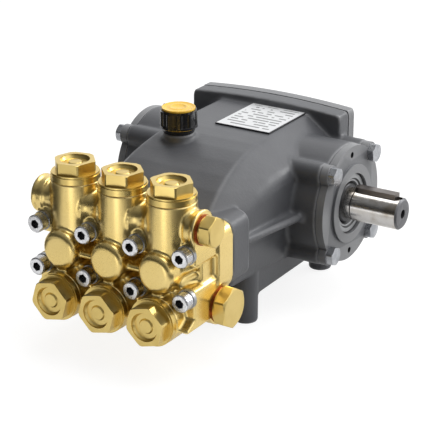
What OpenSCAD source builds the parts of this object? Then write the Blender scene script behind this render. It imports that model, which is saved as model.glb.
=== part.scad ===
// Triplex plunger pump: brass valve head, cast crankcase, keyed drive shaft.
// Millimetres, +Z up. The origin is on the floor, in the middle of the four feet.
// -Y is the valve head end, +Y the rear cover, +X the drive shaft end.

/* [Main axes] */
// Height of the plunger and crankshaft axes above the floor
axis_z = 76; // [70:0.5:84]
// Distance between neighbouring plungers
pitch = 40; // [38:0.5:44]
// Crankshaft axis behind the middle of the feet
shaft_y = 20; // [16:0.5:24]
// Joint between the valve head and the crankcase, in front of the feet's middle
joint_y = 110; // [106:0.5:114]

/* [Feet] */
// Distance between the left and right feet
feet_x = 93; // [88:0.5:96]
// Distance between the front and rear feet
feet_y = 115; // [110:0.5:120]
// Diameter of a foot post
foot_d = 18; // [16:0.5:20]
// Tapped hole of a foot, core diameter
foot_hole_d = 8.5; // [6.8:0.1:10]
// Depth of the tapped hole
foot_hole_depth = 18; // [12:1:22]

/* [Crankcase] */
// Height of the flat top of the crankcase
top_z = 129; // [124:0.5:134]
// Half width of the crankcase top between its shoulder edges
shoulder_x = 42; // [38:0.5:46]
// Radius of the shoulder edges
shoulder_r = 5; // [3:0.5:8]
// Radius of the arch that falls towards the valve head
arch_r = 150; // [130:1:180]
// Where the arch starts to fall, in front of the middle of the feet
arch_start = 18; // [10:1:26]
// Half width of the side wall at the front flange
wall_front_x = 58; // [54:0.5:60]
// Half width of the side wall at the bearing housings
wall_rear_x = 65; // [61:0.5:67]
// Where the side wall reaches that width, in front of the middle of the feet
wall_full_y = 22; // [10:1:30]
// Height of the underside of the sump
sump_z = 21; // [16:0.5:26]
// Half width of the sump
sump_x = 54.5; // [53:0.5:55]

/* [Front flange] */
// Half width of the flange and the head's base plate
flange_x = 67; // [66:0.5:70]
// Height of the flange
flange_h = 50; // [46:0.5:54]
// Thickness of the flange
flange_t = 23; // [18:0.5:26]
// Corner radius of the flange
flange_r = 9; // [6:0.5:12]

/* [Rear block] */
// Half width of the rear block and cover
block_x = 66; // [64:0.5:68]
// Front face of the rear block behind the middle of the feet
block_front_y = 47; // [44:0.5:50]
// Joint between the rear block and its cover
cover_joint_y = 62; // [58:0.5:64]
// Rear face of the cover
rear_y = 70.5; // [68:0.5:74]
// Height of the top of the block in the middle
block_top_z = 135; // [132:0.5:140]
// Corner radius of the block
block_r = 8; // [6:0.5:14]
// Radius of the crown on the block's top
crown_r = 700; // [500:10:1200]

/* [Bearing covers] */
// Where the bearing covers seat, from the middle
seat_x = 85; // [82:0.5:88]
// Thickness of a cover's flange
cover_t = 6; // [5:0.5:8]
// Diameter of a cover's round flange
cover_d = 90; // [84:0.5:94]
// Diameter of the circle of bolts
bolt_circle_d = 88; // [84:0.5:90]
// Radius of the ears round the bolts
ear_r = 8.5; // [7.5:0.5:10]
// Diameter of the raised ring
ring_d = 60; // [56:0.5:64]
// Height of the raised ring
ring_h = 2; // [1:0.5:3]

/* [Drive shaft] */
// Diameter of the shaft end
shaft_d = 24; // [20:0.5:28]
// End of the shaft, from the middle
shaft_end_x = 134; // [126:0.5:140]
// Diameter of the journal inside the seal
journal_d = 30; // [29:0.5:32]
// Outer diameter of the shaft seal
seal_d = 46; // [44:0.5:50]
// Width of the key
key_w = 8; // [6:0.5:8]
// Height of the key
key_h = 7; // [6:0.5:8]
// Length of the key
key_l = 34; // [28:1:36]

/* [Valve head] */
// Thickness of the head's base plate
plate_t = 18.4; // [16:0.2:20]
// Distance of the valve towers from the joint
tower_y = 35; // [33:0.5:37]
// Diameter of a valve tower
tower_d = 35.4; // [34:0.2:36]
// Height of the seat of the discharge caps
tower_top_z = 123.4; // [120:0.2:126]
// Height of the discharge gallery
gallery_z = 106.3; // [104:0.1:108]
// Diameter of the discharge gallery
gallery_d = 22.5; // [20:0.5:24]
// Height of the suction valves
suction_z = 42.2; // [40:0.1:44]
// Distance of the seat of the suction caps from the joint
suction_seat = 57.2; // [55:0.2:60]
// Distance of the suction gallery from the joint
suction_gallery_y = 12.5; // [10:0.5:16]
// Width of a plunger boss
boss_d = 28; // [26:0.5:34]
// How much taller than wide a plunger boss is
boss_oval = 1; // [0.5:0.5:5]
// Distance of the boss faces from the joint
boss_face = 59; // [57:0.5:61]
// End of the gallery collars on the plug side
plug_face_x = 65; // [63:0.5:67]
// End of the discharge gallery on the port side
port_face_x = 70; // [67:0.5:74]

/* [Caps and plugs] */
// Width across flats of the valve caps
cap_af = 27; // [24:1:27]
// Height of a cap's hexagon
cap_hex_h = 8; // [6:0.2:9]
// Diameter of a cap's polished collar
cap_collar_d = 35; // [33:0.2:35.4]
// Height of a cap's polished collar
cap_collar_h = 4.2; // [3:0.2:5]
// Width across flats of the outlet plug
outlet_plug_af = 20; // [17:1:22]
// Width across flats of the inlet plug
inlet_plug_af = 27; // [24:1:27]
// Height of a plug's hexagon
plug_hex_h = 8.4; // [7:0.2:10]
// Thickness of the copper washers
copper_t = 1.2; // [1:0.1:2]

/* [Screws] */
// Height of the lower head screws
screw_low_z = 59.2; // [58:0.1:61]
// Vertical distance between the upper and lower head screws
screw_rows = 32.3; // [30:0.1:34]
// Thread diameter of the screws
screw_d = 8; // [6:0.5:8]
// Head diameter of the cap screws
cap_screw_head_d = 13; // [12:0.2:14]
// Head height of the cap screws
cap_screw_head_h = 8; // [6:0.5:9]
// Distance of the screw seats from the joint
screw_seat = 46.4; // [44:0.2:48]
// Width across flats of the hexagon bolts
bolt_af = 13; // [12:0.5:14]
// Head height of the hexagon bolts
bolt_head_h = 5.3; // [4:0.1:6]

/* [Oil filler and plate] */
// Filler to the left of the middle
filler_x = 20; // [16:0.5:24]
// Filler in front of the middle of the feet
filler_y = 44; // [40:0.5:48]
// Diameter of the filler cap
filler_d = 28.4; // [24:0.2:30]
// Height of the filler cap above its neck ring
filler_cap_h = 15.5; // [14:0.5:18]
// Width of the rating plate
plate_w = 47; // [40:0.5:50]
// Length of the rating plate
plate_l = 56; // [48:0.5:58]
// Middle of the rating plate to the right of the middle
plate_x = 13.5; // [10:0.5:16]

/* [Hidden] */
$fn = 64;

eps = 0.1;
slack = 0.2;
gap = 0.3;
thread_fit = 0.05;
hole_tip = 2;
corner_cut = 0.4;
anthracite = "#4a4b4e";
brass = "#c9a544";
steel = "#b9bcc0";
far = 200;

// Geometry shared by several pieces
head_y = -joint_y;
valve_y = head_y - tower_y;
screw_rows_z = [screw_low_z + screw_rows, screw_low_z];
screw_xs = [for (i = [-1.5:1:1.5]) i * pitch];
plunger_xs = [-pitch, 0, pitch];
shank_r = screw_d / 2;
clear_hole_r = shank_r + gap;
tapped_hole_r = shank_r + thread_fit;
screw_bite = 14;

// A cylinder along +X from x0 to x1 at a place in the YZ plane
module x_rod(x0, x1, r, y = 0, z = 0) {
    translate([x0, y, z])
        rotate([0, 90, 0])
            cylinder(r = r, h = x1 - x0);
}

// A cylinder along Y from y0 to y1 at a place in the XZ plane
module y_rod(y0, y1, r, x = 0, z = 0) {
    translate([x, y0, z])
        rotate([-90, 0, 0])
            cylinder(r = r, h = y1 - y0);
}

// A flat shape in X and Z, thick along Y from y0 to y1
module y_plate(y0, y1) {
    translate([0, y1, 0])
        rotate([90, 0, 0])
            linear_extrude(y1 - y0)
                children();
}

// A rectangle with round corners
module round_rect(w, h, r) {
    square([w - 2 * r, h], center = true);
    square([w, h - 2 * r], center = true);
    for (sx = [-1, 1], sy = [-1, 1])
        translate([sx * (w / 2 - r), sy * (h / 2 - r)])
            circle(r);
}

// A hexagon prism whose upper corners are turned off to a face of radius face_r
module hex_prism(af, h, face_r, turn = 0) {
    turned_r = af / sqrt(3) - corner_cut;
    chamfer_h = (turned_r - face_r) / 2;
    intersection() {
        rotate(turn)
            cylinder(r = af / sqrt(3), h = h, $fn = 6);
        union() {
            cylinder(r = turned_r, h = h - chamfer_h);
            translate([0, 0, h - chamfer_h - eps / 10])
                cylinder(r1 = turned_r, r2 = face_r, h = chamfer_h + eps / 10);
        }
    }
}

// The four bolts of a bearing cover, seen along the shaft
module at_cover_bolts() {
    for (a = [45:90:315])
        translate([0, shaft_y + bolt_circle_d / 2 * cos(a), axis_z + bolt_circle_d / 2 * sin(a)])
            children();
}

rear_bolt_x = block_x - 9;
rear_bolt_zs = [block_top_z - 11, axis_z, sump_z + 10];

// The bolts of the rear cover, seen along Y
module at_rear_bolts() {
    for (sx = [-1, 1], z = rear_bolt_zs)
        translate([sx * rear_bolt_x, 0, z])
            children();
}

// Height of the arched top at a place along Y
function arch_z(y) = y > -arch_start ? top_z
    : top_z - arch_r + sqrt(arch_r * arch_r - pow(y + arch_start, 2));

// Half width of the side wall at a place along Y
function wall_x(y) = wall_front_x
    + (wall_rear_x - wall_front_x) * min(1, (y + joint_y) / (joint_y - wall_full_y));

// Middle of the shoulder rounding, which stands wider where the arch is low
function shoulder_at(y) = shoulder_x - shoulder_r + (top_z - arch_z(y)) / 4;

arch_front_y = head_y + 8;
arch_stations = [
    for (i = [0:6]) arch_front_y + i * (-arch_start - arch_front_y) / 6,
    block_front_y + 4
];
cheek_r = 16;
cheek_drop = 12;

// Upper half of the crankcase: arched top, round shoulders and bulging cheeks
module crankcase_arch() {
    intersection() {
        hull()
            for (y = arch_stations, sx = [-1, 1]) {
                translate([sx * shoulder_at(y), y, arch_z(y) - shoulder_r])
                    sphere(shoulder_r, $fn = 20);
                translate([sx * (wall_x(y) - cheek_r), y, arch_z(y) - cheek_drop - cheek_r])
                    sphere(cheek_r, $fn = 28);
                translate([sx * (wall_x(y) - 1), y, axis_z])
                    cube([2, 0.2, 4], center = true);
            }
        translate([-far / 2, head_y + 1, 0])
            cube([far, cover_joint_y - head_y - 2, far]);
    }
}

rib_t = 6;
rib_web_t = 5;
rib_front = [wall_front_x + 2.5, head_y + flange_t - 1];
rib_rear = [wall_rear_x + 8, shaft_y - cover_d / 2 + 3];

// The stiffening rib along each side at axis height, with a beaded edge
module side_rib() {
    run = rib_rear - rib_front;
    translate([0, 0, axis_z - rib_web_t / 2])
        linear_extrude(rib_web_t)
            polygon([
                [-rib_front.x, rib_front.y], rib_front, rib_rear, [rib_rear.x, shaft_y],
                [-rib_rear.x, shaft_y], [-rib_rear.x, rib_rear.y]
            ]);
    for (side = [0, 1])
        mirror([side, 0, 0])
            translate([rib_front.x, rib_front.y, axis_z])
                rotate([0, 0, -atan2(run.x, run.y)])
                    rotate([-90, 0, 0])
                        cylinder(r = rib_t / 2, h = norm(run));
}

belly_z = 38;
belly_r = 6;
sump_corner_r = sump_x - feet_x / 2;

// Lower half of the crankcase: inset side walls over a narrower sump
module crankcase_belly() {
    wall_y0 = head_y + flange_t - 1;
    inset = 2;
    hull()
        for (side = [-1, 1], front = [true, false]) {
            y = front ? wall_y0 : block_front_y;
            translate([side * (wall_x(y) - 2 * inset), y, axis_z - belly_r])
                cube([2 * inset, 1, 2 * belly_r], center = true);
            translate([side * (wall_x(y) - inset - 1.5 * belly_r), y, belly_z + (front ? belly_r : inset)])
                sphere(belly_r, $fn = 20);
        }
    translate([0, 0, sump_z])
        linear_extrude(belly_z + 2 * belly_r - sump_z)
            round_rect(2 * sump_x, feet_y + 2 * sump_corner_r, sump_corner_r);
}

// One bearing housing with its ridges for the cover bolts, on the +X side
module bearing_housing() {
    x_rod(0, seat_x, cover_d / 2, shaft_y, axis_z);
    at_cover_bolts()
        x_rod(shoulder_x, seat_x, ear_r);
}

// Rear block and cover outline, with a crowned top
module block_outline() {
    h = block_top_z - sump_z;
    intersection() {
        translate([0, sump_z + h / 2])
            round_rect(2 * block_x, h, block_r);
        translate([0, block_top_z - crown_r])
            circle(crown_r, $fn = 360);
    }
}

// Holes for the screws that hold the valve head
module head_screw_holes(y0, y1, r) {
    for (x = screw_xs, z = screw_rows_z)
        y_rod(y0, y1, r, x, z);
}

filler_boss_r = filler_d / 2 - 2.4;
filler_boss_h = 16;
filler_boss_z = top_z + 2.5;
filler_stem_r = 8;
filler_stem_l = 7;
bearing_bore_depth = 30;

module crankcase() {
    color(anthracite)
        difference() {
            union() {
                crankcase_arch();
                crankcase_belly();
                side_rib();
                y_plate(head_y, head_y + flange_t)
                    translate([0, axis_z])
                        round_rect(2 * flange_x, flange_h, flange_r);
                y_plate(block_front_y, cover_joint_y)
                    block_outline();
                bearing_housing();
                mirror([1, 0, 0])
                    bearing_housing();
                for (sx = [-1, 1], sy = [-1, 1])
                    translate([sx * feet_x / 2, sy * feet_y / 2, 0])
                        cylinder(d = foot_d, h = belly_z + 8);
                translate([-filler_x, -filler_y, filler_boss_z - filler_boss_h])
                    cylinder(r = filler_boss_r, h = filler_boss_h);
            }
            rear_cover_room();
            for (sx = [-1, 1], sy = [-1, 1])
                translate([sx * feet_x / 2, sy * feet_y / 2, -eps])
                    cylinder(d = foot_hole_d, h = foot_hole_depth + eps);
            head_screw_holes(head_y - eps, head_y + screw_bite + hole_tip, tapped_hole_r);
            for (side = [0, 1])
                mirror([side, 0, 0])
                    at_cover_bolts()
                        x_rod(seat_x - screw_bite - hole_tip, seat_x + eps, tapped_hole_r);
            at_rear_bolts()
                y_rod(cover_joint_y - rear_bolt_bite - hole_tip, cover_joint_y + eps, rear_bolt_r + thread_fit);
            x_rod(seat_x - bearing_bore_depth, seat_x + eps, journal_d / 2 + thread_fit, shaft_y, axis_z);
            translate([-filler_x, -filler_y, filler_boss_z - filler_stem_l - 1])
                cylinder(r = filler_stem_r + slack, h = filler_stem_l + 1 + eps);
        }
}

rear_bolt_r = 3;
rear_bolt_af = 10;
rear_bolt_head_h = 4;
rear_bolt_bite = 10;
rear_boss_h = 2;
rear_boss_y = rear_y + rear_boss_h;
sight_z = 62;
sight_r = 13;
sight_wall = 3.5;
sight_depth = 4;
drain_z = 33;
drain_r = 6;
drain_stem_l = 7;

// The room of the rear cover, cleared of everything behind the joint
module rear_cover_room() {
    room_x = block_x + gap;
    translate([-room_x, cover_joint_y, sump_z - gap])
        cube([2 * room_x, far, far]);
}

module rear_cover() {
    color(anthracite)
        difference() {
            union() {
                y_plate(cover_joint_y, rear_y)
                    block_outline();
                y_rod(rear_y - 1, rear_boss_y, sight_r + sight_wall, 0, sight_z);
                y_rod(rear_y - 1, rear_boss_y, drain_r + sight_wall, 0, drain_z);
            }
            at_rear_bolts()
                y_rod(cover_joint_y - eps, rear_y + eps, rear_bolt_r + gap);
            y_rod(rear_y - sight_depth, rear_boss_y + eps, sight_r + slack, 0, sight_z);
            y_rod(rear_boss_y - drain_stem_l - 1, rear_boss_y + eps, drain_r + slack, 0, drain_z);
        }
}

// A hexagon bolt along +Z, seated on the XY plane
module hex_bolt(af, head_h, r, l) {
    hex_prism(af, head_h, af / 2 - 0.3, 10);
    translate([0, 0, -l])
        cylinder(r = r, h = l + eps);
}

module rear_cover_bolts() {
    color(steel)
        at_rear_bolts()
            translate([0, rear_y, 0])
                rotate([-90, 0, 0])
                    hex_bolt(rear_bolt_af, rear_bolt_head_h, rear_bolt_r,
                        rear_y - cover_joint_y + rear_bolt_bite);
}

module sight_glass_ring() {
    color(steel)
        difference() {
            y_rod(rear_y - sight_depth + slack, rear_boss_y + 2, sight_r, 0, sight_z);
            y_rod(rear_y - sight_depth, rear_boss_y + 2 + eps, sight_r - sight_wall, 0, sight_z);
        }
}

module sight_glass() {
    color("#d8c690")
        y_rod(rear_y - sight_depth + slack, rear_boss_y + 0.4, sight_r - sight_wall - slack, 0, sight_z);
}

drain_af = 14;
drain_hex_h = 6;
drain_rim_r = 8.8;
drain_rim_h = 1.6;
drain_turn = 20;

module drain_plug() {
    color(brass)
        translate([0, rear_boss_y + copper_t, drain_z])
            rotate([-90, 0, 0]) {
                translate([0, 0, drain_rim_h - eps])
                    hex_prism(drain_af, drain_hex_h, drain_af / 2 - 0.3, drain_turn);
                cylinder(r = drain_rim_r, h = drain_rim_h);
                translate([0, 0, -drain_stem_l])
                    cylinder(r = drain_r, h = drain_stem_l + eps);
            }
}

module drain_plug_washer() {
    color("#b5622e")
        difference() {
            y_rod(rear_boss_y, rear_boss_y + copper_t, drain_rim_r - 0.4, 0, drain_z);
            y_rod(rear_y, rear_boss_y + copper_t + 1, drain_r + slack, 0, drain_z);
        }
}

jack_hole_r = 2.2;
jack_hole_circle_r = 38;

// Flange of a bearing cover with its ears and raised ring, on the +X side
module cover_blank() {
    x_rod(seat_x, seat_x + cover_t, cover_d / 2 - 0.6, shaft_y, axis_z);
    at_cover_bolts()
        x_rod(seat_x, seat_x + cover_t, ear_r - 0.6);
    x_rod(seat_x + 1, seat_x + cover_t + ring_h, ring_d / 2, shaft_y, axis_z);
}

// Bolt holes and the two jacking holes of a bearing cover
module cover_holes() {
    at_cover_bolts()
        x_rod(seat_x - eps, seat_x + cover_t + eps, clear_hole_r);
    for (s = [-1, 1])
        x_rod(seat_x - eps, seat_x + cover_t + eps, jack_hole_r, shaft_y, axis_z + s * jack_hole_circle_r);
}

seal_floor_x = seat_x + 1;
seal_face_x = seat_x + cover_t + ring_h - 2.5;

module bearing_cover_drive() {
    color(anthracite)
        difference() {
            cover_blank();
            cover_holes();
            x_rod(seal_floor_x, far, seal_d / 2, shaft_y, axis_z);
            x_rod(seat_x - eps, seat_x + 2, journal_d / 2 + 1, shaft_y, axis_z);
        }
}

module bearing_cover_blind() {
    color(anthracite)
        mirror([1, 0, 0])
            difference() {
                cover_blank();
                cover_holes();
                x_rod(seat_x + cover_t + ring_h - 3, far, seal_d / 2, shaft_y, axis_z);
            }
}

// The four bolts of a bearing cover, on the +X side
module cover_bolts() {
    at_cover_bolts()
        translate([seat_x + cover_t, 0, 0])
            rotate([0, 90, 0])
                hex_bolt(bolt_af, bolt_head_h, shank_r, cover_t + screw_bite);
}

module drive_cover_bolts() {
    color(steel)
        cover_bolts();
}

module blind_cover_bolts() {
    color(steel)
        mirror([1, 0, 0])
            cover_bolts();
}

seal_lip_r = journal_d / 2 + gap;
seal_rim_w = 4;
seal_step = 1.2;
seal_step_w = 0.8;
seal_lip_w = 1.6;
seal_lip_drop = 2.6;

module shaft_seal() {
    seal_w = seal_face_x - seal_floor_x;
    outer_r = seal_d / 2 - thread_fit;
    rim_r = outer_r - seal_rim_w;
    color("#77787a")
        translate([seal_floor_x + eps, shaft_y, axis_z])
            rotate([0, 90, 0])
                rotate_extrude()
                    polygon([
                        [seal_lip_r, 0], [outer_r, 0], [outer_r, seal_w], [rim_r, seal_w],
                        [rim_r - seal_step_w, seal_w - seal_step],
                        [seal_lip_r + seal_lip_w, seal_w - seal_step],
                        [seal_lip_r, seal_w - seal_lip_drop]
                    ]);
}

journal_end_x = seat_x + cover_t - 1.5;
journal_start_x = seat_x - bearing_bore_depth + 0.3;
key_end_x = shaft_end_x - 5;
key_start_x = key_end_x - key_l;
keyway_floor = shaft_d / 2 - 4;
centre_hole_r = 3.4;
centre_hole_depth = 20;

module crankshaft() {
    end_chamfer = 1.5;
    color(steel)
        difference() {
            translate([0, shaft_y, axis_z])
                rotate([0, 90, 0])
                    rotate_extrude()
                        polygon([
                            [0, journal_start_x], [journal_d / 2, journal_start_x],
                            [journal_d / 2, journal_end_x - 1], [journal_d / 2 - 1, journal_end_x],
                            [shaft_d / 2, journal_end_x],
                            [shaft_d / 2, shaft_end_x - end_chamfer],
                            [shaft_d / 2 - end_chamfer, shaft_end_x], [0, shaft_end_x]
                        ]);
            x_rod(shaft_end_x - centre_hole_depth, shaft_end_x + eps, centre_hole_r, shaft_y, axis_z);
            translate([0, shaft_y, axis_z + keyway_floor]) {
                translate([key_start_x + key_w / 2, -key_w / 2, 0])
                    cube([key_l - key_w / 2, key_w, shaft_d]);
                translate([key_start_x + key_w / 2, 0, 0])
                    cylinder(d = key_w, h = shaft_d);
                translate([key_end_x, 0, 0])
                    cylinder(d = key_w, h = shaft_d);
            }
        }
}

module shaft_key() {
    fit = 0.01;
    color("#6d6258")
        translate([0, shaft_y, axis_z + keyway_floor]) {
            translate([key_start_x + key_w / 2, -key_w / 2 + fit, 0])
                cube([key_l - key_w / 2, key_w - 2 * fit, key_h]);
            translate([key_start_x + key_w / 2, 0, 0])
                cylinder(r = key_w / 2 - fit, h = key_h);
        }
}

filler_ring_h = 3.5;
filler_collar_h = 0.8;
filler_ribs = 10;
filler_rib_r = 3;
filler_rib_lift = 0.9;
filler_rib_drop = 1.6;
filler_lip_h = 1.5;
filler_rim_w = 1.7;
filler_disc_h = 1.6;
filler_seat_z = filler_boss_z + filler_ring_h;
filler_top_z = filler_seat_z + filler_cap_h;

// Tapered ring between the cast neck and the filler cap
module filler_neck_ring() {
    color("#222326")
        translate([-filler_x, -filler_y, filler_boss_z])
            difference() {
                cylinder(r1 = filler_boss_r - 0.2, r2 = filler_boss_r + 0.8, h = filler_ring_h);
                translate([0, 0, -eps])
                    cylinder(r = filler_stem_r + slack, h = filler_ring_h + 2 * eps);
            }
}

module filler_cap() {
    skirt_r = filler_d / 2 - filler_rib_lift;
    collar_r = skirt_r - 0.8;
    skirt_z = filler_seat_z + filler_collar_h;
    disc_seat_z = filler_top_z - filler_disc_h;
    stem_z = filler_boss_z - filler_stem_l;
    color("#17181a")
        translate([-filler_x, -filler_y, 0]) {
            rotate_extrude()
                polygon([
                    [0, stem_z], [filler_stem_r, stem_z], [filler_stem_r, filler_seat_z],
                    [collar_r, filler_seat_z], [collar_r, skirt_z], [filler_d / 2, skirt_z],
                    [filler_d / 2, skirt_z + filler_lip_h], [skirt_r, skirt_z + filler_lip_h + 0.3],
                    [skirt_r, disc_seat_z], [0, disc_seat_z]
                ]);
            for (i = [1:filler_ribs])
                rotate((i - 0.5) * 360 / filler_ribs)
                    translate([filler_d / 2 - filler_rib_r - 0.05, 0, skirt_z + eps])
                        cylinder(r = filler_rib_r, h = disc_seat_z - skirt_z - filler_rib_drop);
        }
}

module filler_cap_disc() {
    color("#f2a51d")
        translate([-filler_x, -filler_y, filler_top_z - filler_disc_h])
            cylinder(r = filler_d / 2 - filler_rim_w, h = filler_disc_h);
}

plate_thickness = 1.2;

module rating_plate() {
    color("#dfe1e4")
        translate([plate_x - plate_w / 2, block_front_y - plate_l - 0.5, top_z])
            cube([plate_w, plate_l, plate_thickness]);
}

boss_round = 5;
plate_front_y = head_y - plate_t;
column_r = 8;
low_column_r = 7.4;
arm_drop = 9;
arm_rise = 4;

// Oval boss in front of each plunger, with a rounded rim
module plunger_boss(x) {
    l = boss_face - plate_t + 1;
    hull()
        for (dz = [-boss_oval, boss_oval] / 2)
            translate([x, plate_front_y + 1, axis_z + dz])
                rotate([90, 0, 0])
                    rotate_extrude($fn = 40) {
                        square([boss_d / 2, l - boss_round]);
                        square([boss_d / 2 - boss_round, l]);
                        translate([boss_d / 2 - boss_round, l - boss_round])
                            circle(boss_round, $fn = 24);
                    }
}

// Columns under the screw heads, cut flush with the sides of the head
module screw_columns() {
    intersection() {
        for (x = screw_xs) {
            y_rod(head_y - screw_seat, plate_front_y + 1, column_r, x, screw_rows_z[0]);
            y_rod(head_y - screw_seat, plate_front_y + 1, low_column_r, x, screw_rows_z[1]);
        }
        translate([-block_side_x, -far, 0])
            cube([2 * block_side_x, far, far]);
    }
}

// Vertical valve tower over each plunger
module valve_tower(x) {
    translate([x, valve_y, axis_z])
        cylinder(d = tower_d, h = tower_top_z - axis_z);
}

// Plunger chamber behind each boss, between the tower and the base plate
module plunger_chamber(x) {
    y_rod(valve_y, plate_front_y + 1, chamber_r, x, axis_z);
}

// Horizontal suction valve housing below each plunger
module suction_housing(x) {
    y_rod(head_y - suction_seat, head_y - 4, tower_d / 2, x, suction_z);
}

chamber_r = 16.5;
cap_stem_r = 13;
cap_stem_h = 7;
port_collar_r = 14;
port_collar_t = 2.5;
port_step_r = 13;
port_step_t = 6;
outlet_core_r = 7.5;
inlet_core_r = 9.3;
inlet_boss_r = 14.2;
port_depth = 15;
block_drop = 5.4;
block_rise = 20.6;
block_edge = 1.5;
block_toe = 9.5;
block_toe_rise = 2;
block_side_x = plug_face_x + 0.4;
block_low_z = suction_z - block_drop;
block_up_z = suction_z + block_rise;
web_inset = 2.6;
web_lead = 1.5;
web_x = block_side_x - web_inset;
web_front_y = valve_y + web_lead;
web_bead_r = 2.6;
blend_r = 9;
blend_w = 7;
link_bar_r = 2.4;
spot_face_r = inlet_plug_af / sqrt(3) + 1;

// One end of the discharge gallery: a step and a thin collar, ending at x
module gallery_end(x) {
    x_rod(x - port_collar_t - port_step_t, x - port_collar_t + eps, port_step_r, valve_y, gallery_z);
    x_rod(x - port_collar_t, x, port_collar_r, valve_y, gallery_z);
}

// The hollow blends between the discharge gallery and the towers on each side of x
module gallery_blend(x) {
    translate([x, valve_y, gallery_z])
        rotate([0, 90, 0])
            rotate_extrude()
                polygon([
                    [0, -blend_w],
                    for (t = [-blend_w:1:blend_w])
                        [gallery_d / 2 + blend_r - sqrt(blend_r * blend_r - t * t), t],
                    [0, blend_w]
                ]);
}

// Block that joins the suction housings, with a sloping toe under them
module suction_block() {
    front_y = head_y - screw_seat;
    translate([-block_side_x, 0, 0])
        rotate([90, 0, 90])
            linear_extrude(2 * block_side_x)
                polygon([
                    [plate_front_y + 1, block_low_z], [plate_front_y + 1, block_up_z],
                    [front_y + block_edge, block_up_z], [front_y, block_up_z - block_edge],
                    [front_y, suction_z + block_toe_rise],
                    [front_y - block_toe, block_low_z + block_edge],
                    [front_y - block_toe, block_low_z]
                ]);
}

// A bead that runs from the side of the web forward to the outer plunger boss
module web_bead(z_web, z_boss) {
    from = [web_x - web_bead_r - gap, web_front_y + 4, z_web];
    to = [pitch + 10, web_front_y - 13, z_boss];
    run = to - from;
    translate(from)
        rotate([0, acos(run.z / norm(run)), atan2(run.y, run.x)])
            cylinder(r = web_bead_r, h = norm(run));
}

module manifold() {
    inlet_y = head_y - suction_gallery_y;
    color(brass)
        difference() {
            union() {
                y_plate(plate_front_y, head_y)
                    translate([0, axis_z])
                        round_rect(2 * flange_x, flange_h, flange_r);
                for (x = plunger_xs) {
                    plunger_boss(x);
                    plunger_chamber(x);
                    valve_tower(x);
                    suction_housing(x);
                }
                screw_columns();
                for (side = [0, 1])
                    mirror([side, 0, 0])
                        translate([pitch, head_y - screw_seat, screw_rows_z[0] - arm_drop])
                            cube([block_side_x - pitch, screw_seat - plate_t + 1, arm_drop + arm_rise]);
                x_rod(1 - port_face_x, plug_face_x - 1, gallery_d / 2, valve_y, gallery_z);
                gallery_blend(-pitch / 2);
                gallery_blend(pitch / 2);
                gallery_end(plug_face_x);
                mirror([1, 0, 0])
                    gallery_end(port_face_x);
                x_rod(-plug_face_x, plug_face_x, inlet_boss_r, inlet_y, suction_z);
                suction_block();
                translate([-web_x, web_front_y, block_up_z - 1])
                    cube([2 * web_x, plate_front_y - web_front_y + 1, screw_rows_z[0] - block_up_z]);
                for (side = [0, 1])
                    mirror([side, 0, 0]) {
                        web_bead(axis_z + 4, axis_z - 2);
                        web_bead(axis_z - 5, axis_z - 9);
                    }
                x_rod(-pitch, pitch, link_bar_r, head_y - boss_face + 9, axis_z - link_bar_r);
            }
            head_screw_holes(head_y - screw_seat - eps, head_y + eps, clear_hole_r);
            head_screw_holes(-far, head_y - screw_seat, washer_r + 1);
            for (x = plunger_xs) {
                translate([x, valve_y, tower_top_z - cap_stem_h - 1])
                    cylinder(r = cap_stem_r + slack, h = cap_stem_h + 2);
                y_rod(head_y - suction_seat - 1, head_y - suction_seat + cap_stem_h + 1,
                    cap_stem_r + slack, x, suction_z);
            }
            x_rod(plug_face_x - port_depth, plug_face_x + eps, outlet_core_r, valve_y, gallery_z);
            x_rod(-port_face_x - eps, -port_face_x + port_depth, outlet_core_r, valve_y, gallery_z);
            x_rod(plug_face_x, far, port_collar_r + gap, valve_y, gallery_z);
            for (side = [0, 1])
                mirror([side, 0, 0]) {
                    x_rod(plug_face_x - port_depth, plug_face_x + eps, inlet_core_r, inlet_y, suction_z);
                    x_rod(plug_face_x, far, spot_face_r, inlet_y, suction_z);
                }
        }
}

cap_rim_h = 1.4;
cap_rim_inset = 0.7;
cap_dish_r = 10.6;
cap_dish_depth = 2.9;
cap_button_r = 5.6;
cap_button_drop = 1.3;

// A valve cap along +Z, seated on the XY plane
module valve_cap(turn) {
    base_h = cap_collar_h + cap_rim_h;
    cap_h = base_h + cap_hex_h;
    color(brass)
        difference() {
            union() {
                translate([0, 0, -cap_stem_h])
                    cylinder(r = cap_stem_r, h = cap_stem_h + 1);
                cylinder(d = cap_collar_d, h = cap_collar_h);
                translate([0, 0, cap_collar_h - eps])
                    cylinder(r = cap_collar_d / 2 - cap_rim_inset, h = cap_rim_h + eps);
                translate([0, 0, base_h - eps])
                    hex_prism(cap_af, cap_hex_h + eps, cap_af / sqrt(3) - 1.2, turn);
            }
            translate([0, 0, cap_h])
                rotate_extrude()
                    polygon([
                        [0, -cap_button_drop], [cap_button_r - 1, -cap_button_drop - 0.4],
                        [cap_button_r, -cap_dish_depth], [cap_dish_r - 1.6, -cap_dish_depth],
                        [cap_dish_r - 0.3, -0.8], [cap_dish_r, 1], [0, 1]
                    ]);
        }
}

module discharge_cap(i, turn) {
    translate([plunger_xs[i], valve_y, tower_top_z])
        valve_cap(turn);
}

module suction_cap(i, turn) {
    translate([plunger_xs[i], head_y - suction_seat, suction_z])
        rotate([90, 0, 0])
            valve_cap(turn);
}

module discharge_cap_left() { discharge_cap(0, 12); }
module discharge_cap_centre() { discharge_cap(1, 15); }
module discharge_cap_right() { discharge_cap(2, 13); }
module suction_cap_left() { suction_cap(0, 13); }
module suction_cap_centre() { suction_cap(1, 14); }
module suction_cap_right() { suction_cap(2, 16); }

plug_stem_l = 9;
plug_rim_h = 1.5;
plug_face_inset = 0.9;

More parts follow.
